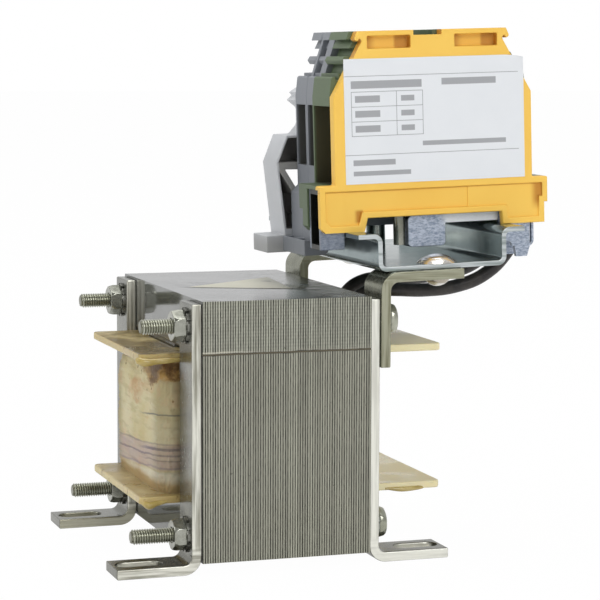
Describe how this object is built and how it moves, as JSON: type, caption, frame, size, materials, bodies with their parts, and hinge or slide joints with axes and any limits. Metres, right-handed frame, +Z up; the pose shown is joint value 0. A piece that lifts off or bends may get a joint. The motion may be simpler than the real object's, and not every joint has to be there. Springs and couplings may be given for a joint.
{
  "type": "line reactor",
  "caption": "Iron-core line reactor with a taped coil on four slotted clamp feet, and a short side rail that carries an earth terminal and feed-through terminals.",
  "frame": {"origin": "centre of the four foot slots, on the mounting plane under the feet", "axes": "+X through the lamination stack towards the rail and its terminals, +Y across the laminations away from the earth terminal, +Z up from the mounting plane"},
  "size_m": [0.0946, 0.06, 0.1046],
  "materials": {
    "lamination": "varnished sheet steel",
    "insulation": "insulating sheet",
    "bobbin": "natural moulding with varnish on it",
    "copper": "copper",
    "tape": "varnished tape",
    "zinc_strip": "zinc plated strip",
    "chromate": "yellow chromate over zinc",
    "zinc": "bright zinc plate",
    "dark_steel": "phosphated spring steel",
    "rail_zinc": "passivated zinc plate",
    "rivet": "bright",
    "yellow_plastic": "satin moulding",
    "green_plastic": "satin moulding",
    "foot_zinc": "spangled zinc",
    "grey_plastic": "satin moulding",
    "light_plastic": "satin moulding",
    "label": "printed sticker",
    "lead": "insulated wire"
  },
  "bodies": {
    "root": {"e_laminations": "lamination", "i_laminations": "lamination", "air_gap_spacer": "insulation", "bobbin": "bobbin", "winding": "copper", "coil_wrap": "tape", "clamp_foot_front_left": "zinc_strip", "clamp_foot_front_right": "zinc_strip", "clamp_foot_rear_left": "zinc_strip", "clamp_foot_rear_right": "zinc_strip", "through_bolts": "zinc", "plain_washers": "zinc", "toothed_washers": "dark_steel", "nuts": "zinc", "rail_bracket_front": "chromate", "rail_bracket_rear": "chromate", "rail": "rail_zinc", "rail_rivets": "rivet", "earth_cover": "yellow_plastic", "earth_body": "green_plastic", "earth_bar": "copper", "earth_cages": "zinc", "earth_clamp_screws": "zinc", "earth_foot": "foot_zinc", "earth_yoke": "foot_zinc", "earth_foot_screw": "chromate", "earth_pin": "chromate", "feed_housing_front": "grey_plastic", "feed_housing_rear": "grey_plastic", "feed_bar_front": "copper", "feed_bar_rear": "copper", "feed_cages": "zinc", "feed_clamp_screws": "zinc", "end_stop": "light_plastic", "end_stop_screw": "zinc", "end_stop_nut": "zinc", "rating_label": "label", "lead_front": "lead", "lead_rear": "lead"}
  },
  "joints": []
}
